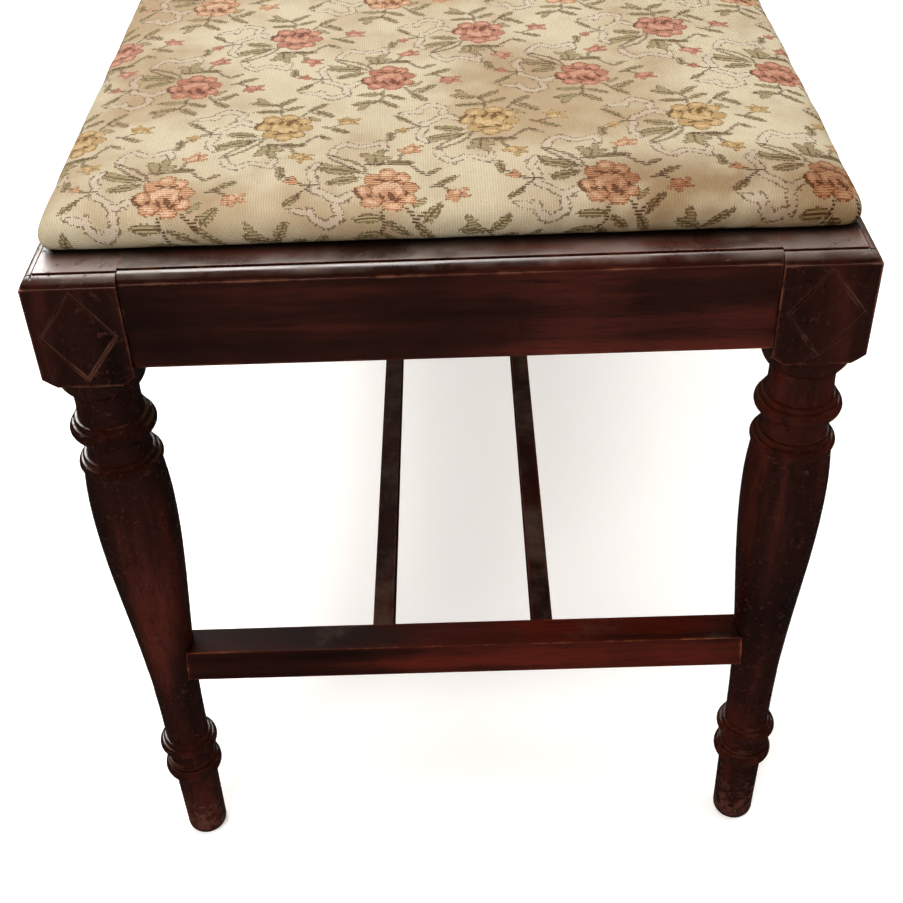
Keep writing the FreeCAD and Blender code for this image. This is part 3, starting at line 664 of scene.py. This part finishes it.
def stained_ground(nodes, cloth, tone):
    """Cream ground with old stains and spots, and each stitch of its own tone."""
    stain = nodes.noise(cloth, 8.0, 4.0, 0.6, 2.0)
    spots = nodes.noise(cloth, 30.0, 4.0, 0.6, 3.0)
    ground = nodes.mix(nodes.ease(stain, 0.42, 0.64), GROUND_CREAM, GROUND_STAIN)
    ground = nodes.mix(nodes.times(nodes.ease(spots, 0.50, 0.74), 0.3), ground, GROUND_SPOT)
    return nodes.mix(nodes.times(tone, 0.16), ground, GROUND_DARK)


def weave_waves(nodes, cloth, direction, spacing, distortion, detail_scale=1.0):
    """Fine even waves of the weave, from 0 between the threads to 1 on them."""
    waves = nodes.add("ShaderNodeTexWave", wave_type="BANDS", bands_direction=direction, wave_profile="SIN")
    nodes.feed(waves.inputs["Vector"], cloth)
    waves.inputs["Scale"].default_value = 2 * math.pi / WAVE_RATE / spacing
    waves.inputs["Distortion"].default_value = distortion
    waves.inputs["Detail Scale"].default_value = detail_scale
    return waves.outputs["Fac"]


def soiled(nodes, cloth, colour):
    """Colour browned by broad grime, and by handling at the front right of the seat."""
    grime = nodes.ease(nodes.noise(cloth, 5.0, 5.0, 0.6, 7.0), 0.48, 0.72)
    colour = nodes.mix(nodes.times(grime, 0.4), colour, GRIME, "MULTIPLY")
    flat = nodes.parts(cloth)
    front_right = nodes.times(nodes.ease(flat["Y"], HANDLED_FROM_DEPTH, HANDLED_TO_DEPTH),
                              nodes.ease(flat["X"], HANDLED_FROM_ACROSS, HANDLED_TO_ACROSS))
    handled = nodes.times(front_right, nodes.ease(nodes.noise(cloth, 24.0, 3.0, 0.5, 9.0), 0.25, 0.55))
    return nodes.mix(nodes.times(handled, 0.8), colour, HANDLED, "MULTIPLY")


def tapestry():
    """Cream woven cloth with rows of rose sprigs, every other row turned over, aged and stained."""
    material, shader, nodes = new_material("tapestry")
    cloth = nodes.add("ShaderNodeUVMap", uv_map="flat_cloth").outputs[0]
    stitch = stitch_places(nodes, cloth)
    flat = nodes.parts(stitch)
    across, depth = flat["X"], flat["Y"]
    ragged = nodes.add("ShaderNodeTexWhiteNoise", noise_dimensions="3D")
    nodes.feed(ragged.inputs["Vector"], stitch)
    tone = ragged.outputs["Value"]
    row = nodes.math("ROUND", nodes.math("DIVIDE", depth, STITCH_DEPTH))
    weave = nodes.math("FLOORED_MODULO", row, 2.0), nodes.math("GREATER_THAN", tone, BROKEN_THREADS)

    colour = stained_ground(nodes, cloth, tone)
    group = sprig_group()
    place, odd = repeat_place(nodes, across, depth, SPRIG_ACROSS, SPRIG_DEPTH, False)
    colour = sprig_layer(nodes, group, colour, place, odd, weave, ORANGE, PINK)
    place, odd = repeat_place(nodes, across, depth, MIRRORED_ACROSS, MIRRORED_DEPTH, True)
    colour = sprig_layer(nodes, group, colour, place, odd, weave, YELLOW, ROSE)

    ribs = weave_waves(nodes, cloth, "X", RIB_SPACING, 1.2, 60.0)
    picks = weave_waves(nodes, cloth, "Y", PICK_SPACING, 2.0)
    colour = nodes.mix(nodes.times(nodes.minus(1.0, ribs), 0.22), colour, RIB_SHADE)
    nodes.feed(shader.inputs["Base Color"], soiled(nodes, cloth, colour))
    shader.inputs["Roughness"].default_value = 0.9
    shader.inputs["Specular IOR Level"].default_value = 0.03
    relief = nodes.plus(nodes.times(ribs, 0.6), nodes.times(picks, 0.4))
    nodes.feed(shader.inputs["Normal"], nodes.bump(relief, WEAVE_DEPTH))
    return material


def round_corner(along, across):
    """A point of the unit square moved so that the square becomes a round disc."""
    return along * math.sqrt(1 - across * across / 2), across * math.sqrt(1 - along * along / 2)


def plan_place(x_share, y_share, inset):
    """Place in plan of a point given as shares of the seat's half length and width, with round corners."""
    half_x, half_y = SEAT_END_X - inset, SEAT_SIDE_Y - inset
    core_x, core_y = half_x - SEAT_CORNER_RADIUS, half_y - SEAT_CORNER_RADIUS
    half_y += SEAT_SIDE_BULGE * (1 - x_share * x_share)
    core_y += SEAT_SIDE_BULGE * (1 - x_share * x_share)
    x, y = x_share * half_x, y_share * half_y
    core = Vector((max(-core_x, min(core_x, x)), max(-core_y, min(core_y, y))))
    turned = round_corner((x - core.x) / SEAT_CORNER_RADIUS, (y - core.y) / SEAT_CORNER_RADIUS)
    return core + SEAT_CORNER_RADIUS * Vector(turned)


def edge_profile():
    """Inset and height of the rings round the seat's edge, from its top down and in under the hem."""
    rings = []
    for turn in TURNS_OVER:
        angle = math.radians(turn)
        rise = (SEAT_EDGE_HEIGHT - SEAT_WIDEST_HEIGHT) * math.sin(angle)
        rings.append((SEAT_ROLL_OVER * (1 - math.cos(angle)), SEAT_WIDEST_HEIGHT + rise))
    for turn in TURNS_UNDER:
        angle = math.radians(turn)
        rings.append((SEAT_ROLL_UNDER * (1 - math.sin(angle)), SEAT_WIDEST_HEIGHT * (1 - math.cos(angle))))
    for step in range(1, HEM_STEPS + 1):
        rings.append((SEAT_ROLL_UNDER + HEM_WIDTH * step / HEM_STEPS, 0.0))
    return rings


def crown_height(x_share, y_share):
    """Height of the seat's top over its foot, rising quickly from the edges to a nearly flat middle."""
    rise = (1 - abs(y_share) ** CROWN_POWER_ACROSS) * (1 - abs(x_share) ** CROWN_POWER_ALONG)
    return SEAT_EDGE_HEIGHT + SEAT_CROWN * rise


def lump(place):
    """Small unevenness of the stuffing under the cloth."""
    return sum(height * noise.noise(place * count) for height, count in zip(LUMP_HEIGHTS, LUMPS_PER_METRE))


def pucker(plan):
    """Shallow gathers where the cloth is drawn round the edge of the seat."""
    return PUCKER_DEPTH * noise.noise(Vector((plan.x, plan.y, 0.0)) * PUCKERS_PER_METRE)


def shares(column, row):
    """Grid point of the seat's top as shares of its half length and half width."""
    return 2 * column / ALONG_COUNT - 1, 2 * row / ACROSS_COUNT - 1


def rim_points():
    """Grid points round the edge of the seat's top, in order."""
    rim = [(column, 0) for column in range(ALONG_COUNT)]
    rim += [(ALONG_COUNT, row) for row in range(ACROSS_COUNT)]
    rim += [(column, ACROSS_COUNT) for column in range(ALONG_COUNT, 0, -1)]
    rim += [(0, row) for row in range(ACROSS_COUNT, 0, -1)]
    return rim


class Cover:
    """Points of the seat's cover, their places on the flat cloth, and the faces between them."""

    def __init__(self):
        self.places, self.flats, self.faces = [], [], []

    def add(self, plan, height, flat):
        """Number of a new point over a place in plan; the stuffing lifts all but the hem a little."""
        place = Vector((plan.x, plan.y, SEAT_FOOT_Z + height))
        self.places.append(place + Vector((0, 0, lump(place) if height > 0 else 0)))
        self.flats.append(flat)
        return len(self.places) - 1

    def add_top(self):
        """Points over the top, by column and row."""
        top = []
        for column in range(ALONG_COUNT + 1):
            line = []
            for row in range(ACROSS_COUNT + 1):
                x_share, y_share = shares(column, row)
                plan = plan_place(x_share, y_share, SEAT_ROLL_OVER)
                line.append(self.add(plan, crown_height(x_share, y_share), plan))
            top.append(line)
        for line, next_line in zip(top, top[1:]):
            for row in range(ACROSS_COUNT):
                self.faces.append((line[row], next_line[row], next_line[row + 1], line[row + 1]))
        return top

    def add_ring(self, ring, inset, height):
        """Next ring of points down the edge, joined to the ring above it."""
        next_ring = []
        for (column, row), above in zip(rim_points(), ring):
            x_share, y_share = shares(column, row)
            plan = plan_place(x_share, y_share, inset)
            fall = (Vector((plan.x, plan.y, SEAT_FOOT_Z + height)) - self.places[above]).length
            outward = plan_place(x_share, y_share, 0.0) - plan_place(x_share, y_share, SEAT_ROLL_OVER)
            outward.normalize()
            if height > 0:
                plan += pucker(plan) * outward
            next_ring.append(self.add(plan, height, self.flats[above] + fall * outward))
        for index, above in enumerate(ring):
            after = (index + 1) % len(ring)
            self.faces.append((above, next_ring[index], next_ring[after], ring[after]))
        return next_ring


def cover_mesh():
    """Cover as a mesh over the top, round the edges and under the hem, with its flat cloth as a UV map."""
    cover = Cover()
    top = cover.add_top()
    ring = [top[column][row] for column, row in rim_points()]
    for inset, height in edge_profile():
        ring = cover.add_ring(ring, inset, height)
    mesh = bpy.data.meshes.new("seat_cover")
    mesh.from_pydata(cover.places, [], cover.faces)
    layer = mesh.uv_layers.new(name="flat_cloth")
    for loop in mesh.loops:
        flat = cover.flats[loop.vertex_index]
        depth = flat.x + BENCH_HALF_LENGTH
        layer.data[loop.index].uv = (CLOTH_SKEW * depth - flat.y, depth)
    mesh.shade_smooth()
    return mesh


def swell(cover):
    """Lets the stuffing press the cloth out a little, with the hem and the tight edge held."""
    held = cover.vertex_groups.new(name="hem_and_edge")
    held.add([v.index for v in cover.data.vertices if v.co.z < SEAT_FOOT_Z + HELD_HEIGHT], 1.0, "REPLACE")
    before = [v.co.copy() for v in cover.data.vertices]
    cloth = cover.modifiers.new("cloth", "CLOTH")
    settings = cloth.settings
    settings.vertex_group_mass = held.name
    settings.use_pressure = True
    settings.uniform_pressure_force = 4.0
    settings.tension_stiffness = 25.0
    settings.compression_stiffness = 12.0
    settings.bending_stiffness = 1.0
    settings.effector_weights.gravity = 0.0
    cloth.point_cache.frame_start = 1
    cloth.point_cache.frame_end = CLOTH_FRAMES
    scene = bpy.context.scene
    for frame_number in range(1, CLOTH_FRAMES + 1):
        scene.frame_set(frame_number)
    swollen = cover.evaluated_get(bpy.context.evaluated_depsgraph_get())
    after = [v.co.copy() for v in swollen.data.vertices]
    cover.modifiers.remove(cloth)
    scene.frame_set(1)
    for vertex, old, new in zip(cover.data.vertices, before, after):
        move = new - old
        if move.length > CLOTH_MOVE_LIMIT:
            move = move.normalized() * CLOTH_MOVE_LIMIT
        vertex.co = old + move


def seat_cover():
    """The woven cover over its stuffing, as one padded piece that lifts off with the seat."""
    cover = bpy.data.objects.new("seat_cover", cover_mesh())
    bpy.context.scene.collection.objects.link(cover)
    swell(cover)
    shell = cover.modifiers.new("thickness", "SOLIDIFY")
    shell.thickness = CLOTH_THICKNESS
    shell.offset = -1.0
    finer = cover.modifiers.new("finer", "SUBSURF")
    finer.levels = 1
    finer.render_levels = 1
    cover.data.materials.append(tapestry())
    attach(cover, "seat")
    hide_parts("tapestry_cover", "seat_wadding")


def dress_nodes(nodes):
    """Gives every kept CAD node the first finish whose key its name starts with."""
    dark_iron = metal("dark_iron", *IRON)
    steel = metal("screw_steel", *STEEL)
    finishes = {
        "leg_left_front": mahogany("leg_wood_a", "Z", leg=True, dust_and_sheen=0.8, redness=0.55, seed=11.0),
        "leg_left_back": mahogany("leg_wood_b", "Z", leg=True, dust_and_sheen=0.9, redness=0.42, seed=21.0),
        "leg_right_front": mahogany("leg_wood_c", "Z", leg=True, dust_and_sheen=0.7, redness=0.6, seed=31.0),
        "leg_right_back": mahogany("leg_wood_d", "Z", leg=True, dust_and_sheen=0.7, redness=0.5, seed=41.0),
        "side_rail": mahogany("side_rail_wood", "X", dust_and_sheen=0.6, seed=51.0),
        "end_rail": mahogany("end_rail_wood", "Y", dust_and_sheen=0.6, redness=0.65, seed=61.0),
        "end_stretcher": mahogany("stretcher_wood", "Y", dust_and_sheen=0.3, redness=0.6, seed=71.0, dull=0.95),
        "long_stretcher": mahogany("bar_wood", "X", dust_and_sheen=0.55, redness=0.4, seed=81.0, dull=1.0),
        "corner_block_screws": steel,
        "corner_block": pine("block_pine", "Z", 5.0),
        "seat_board": pine("board_pine", "X", 6.0),
        "seat_cleat": pine("cleat_pine", "Y", 7.0),
        "cleat_screws": steel,
        "cover_tacks": dark_iron,
    }
    for name, node in nodes.items():
        finish = next((finishes[key] for key in finishes if name.startswith(key)), None)
        if finish:
            node.data.materials.clear()
            node.data.materials.append(finish)


def stage_piece(name, places, faces, tones, glow):
    """Plain pale piece of the studio with a faint mottle, which isn't mirrored in the polish."""
    mesh = bpy.data.meshes.new(name)
    mesh.from_pydata(places, [], faces)
    piece = bpy.data.objects.new(name, mesh)
    bpy.context.scene.collection.objects.link(piece)
    material, shader, nodes = new_material(name)
    nodes.feed(shader.inputs["Base Color"], nodes.mix(nodes.noise(nodes.place(), 3.0), *tones))
    shader.inputs["Roughness"].default_value = 0.9
    shader.inputs["Emission Color"].default_value = (1.0, 1.0, 1.0, 1.0)
    shader.inputs["Emission Strength"].default_value = glow
    mesh.materials.append(material)
    piece.visible_glossy = False
    return piece


def floor_and_walls():
    """Pale floor under the bench, and walls with a ceiling far round it that only the camera sees."""
    corners = [(-1, -1), (1, -1), (1, 1), (-1, 1)]
    low = [(x * STAGE_REACH, y * STAGE_REACH, 0) for x, y in corners]
    high = [(x, y, WALL_HEIGHT) for x, y, _ in low]
    stage_piece("floor", low, [(0, 1, 2, 3)], FLOOR_TONES, FLOOR_GLOW)
    sides = [(side, (side + 1) % 4, (side + 1) % 4 + 4, side + 4) for side in range(4)]
    walls = stage_piece("walls", low + high, sides + [(4, 5, 6, 7)], WALL_TONES, WALL_GLOW)
    walls.visible_diffuse = False
    walls.visible_shadow = False


def area_light(name, place, target, size, power, mirrored=True, lighting=True):
    """Soft round light that looks at a point; it may be mirrored in the polish, light the piece, or both."""
    data = bpy.data.lights.new(name, "AREA")
    data.shape = "DISK"
    data.size = size
    data.energy = power
    data.color = LIGHT_TINT
    light = bpy.data.objects.new(name, data)
    light.location = place
    light.rotation_euler = (Vector(target) - Vector(place)).to_track_quat("-Z", "Y").to_euler()
    light.visible_glossy = mirrored
    light.visible_diffuse = lighting
    bpy.context.scene.collection.objects.link(light)


def studio():
    """Dim surroundings, soft light from overhead and the sides, and two lights that gleam in the polish."""
    world = bpy.data.worlds.new("studio")
    bpy.context.scene.world = world
    world.use_nodes = True
    backdrop = world.node_tree.nodes["Background"]
    backdrop.inputs["Color"].default_value = WORLD_TINT
    backdrop.inputs["Strength"].default_value = WORLD_GLOW
    area_light("overhead_light", (0.0, 0.0, 3.2), (0.0, 0.0, 0.0), size=3.6, power=92.0, mirrored=False)
    area_light("window_light", (0.35, 0.45, 2.6), (-0.45, 0.0, 0.4), size=0.9, power=40.0)
    area_light("fill_light", (-2.3, 0.9, 1.7), (-0.4, 0.0, 0.3), size=1.6, power=62.0, mirrored=False)
    area_light("low_light", (-0.6, -2.4, 1.4), (-0.3, 0.0, 0.0), size=2.2, power=26.0, mirrored=False)
    area_light("gleam_light", (0.9, 0.4, 1.35), (-0.45, 0.1, 0.4), size=2.0, power=125.0, lighting=False)


def photo_camera():
    """Camera at the photograph's place, looking along the bench from its end."""
    yaw, pitch, roll = CAMERA_YAW, CAMERA_PITCH, CAMERA_ROLL
    right = Vector((-math.sin(yaw), -math.cos(yaw), 0))
    ahead = Vector((math.cos(yaw) * math.cos(pitch), -math.sin(yaw) * math.cos(pitch), -math.sin(pitch)))
    above = right.cross(ahead)
    turned_right = math.cos(roll) * right + math.sin(roll) * above
    turned_above = math.cos(roll) * above - math.sin(roll) * right
    axes = Matrix((turned_right, turned_above, -ahead)).transposed()
    data = bpy.data.cameras.new("photo_camera")
    data.lens = CAMERA_LENS
    data.sensor_width = CAMERA_SENSOR
    camera = bpy.data.objects.new("photo_camera", data)
    camera.matrix_world = Matrix.Translation(CAMERA_PLACE) @ axes.to_4x4()
    bpy.context.scene.collection.objects.link(camera)
    bpy.context.scene.camera = camera


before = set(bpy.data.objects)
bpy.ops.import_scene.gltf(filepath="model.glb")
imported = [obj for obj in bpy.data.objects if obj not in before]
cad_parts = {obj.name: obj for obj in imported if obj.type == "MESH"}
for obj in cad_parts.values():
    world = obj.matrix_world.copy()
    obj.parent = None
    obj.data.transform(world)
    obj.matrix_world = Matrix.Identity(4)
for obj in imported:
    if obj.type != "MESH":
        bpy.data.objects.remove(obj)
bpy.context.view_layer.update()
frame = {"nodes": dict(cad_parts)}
bpy.context.scene.view_settings.view_transform = "Standard"
photo_camera()
studio()
floor_and_walls()
dress_nodes(frame["nodes"])
seat_cover()
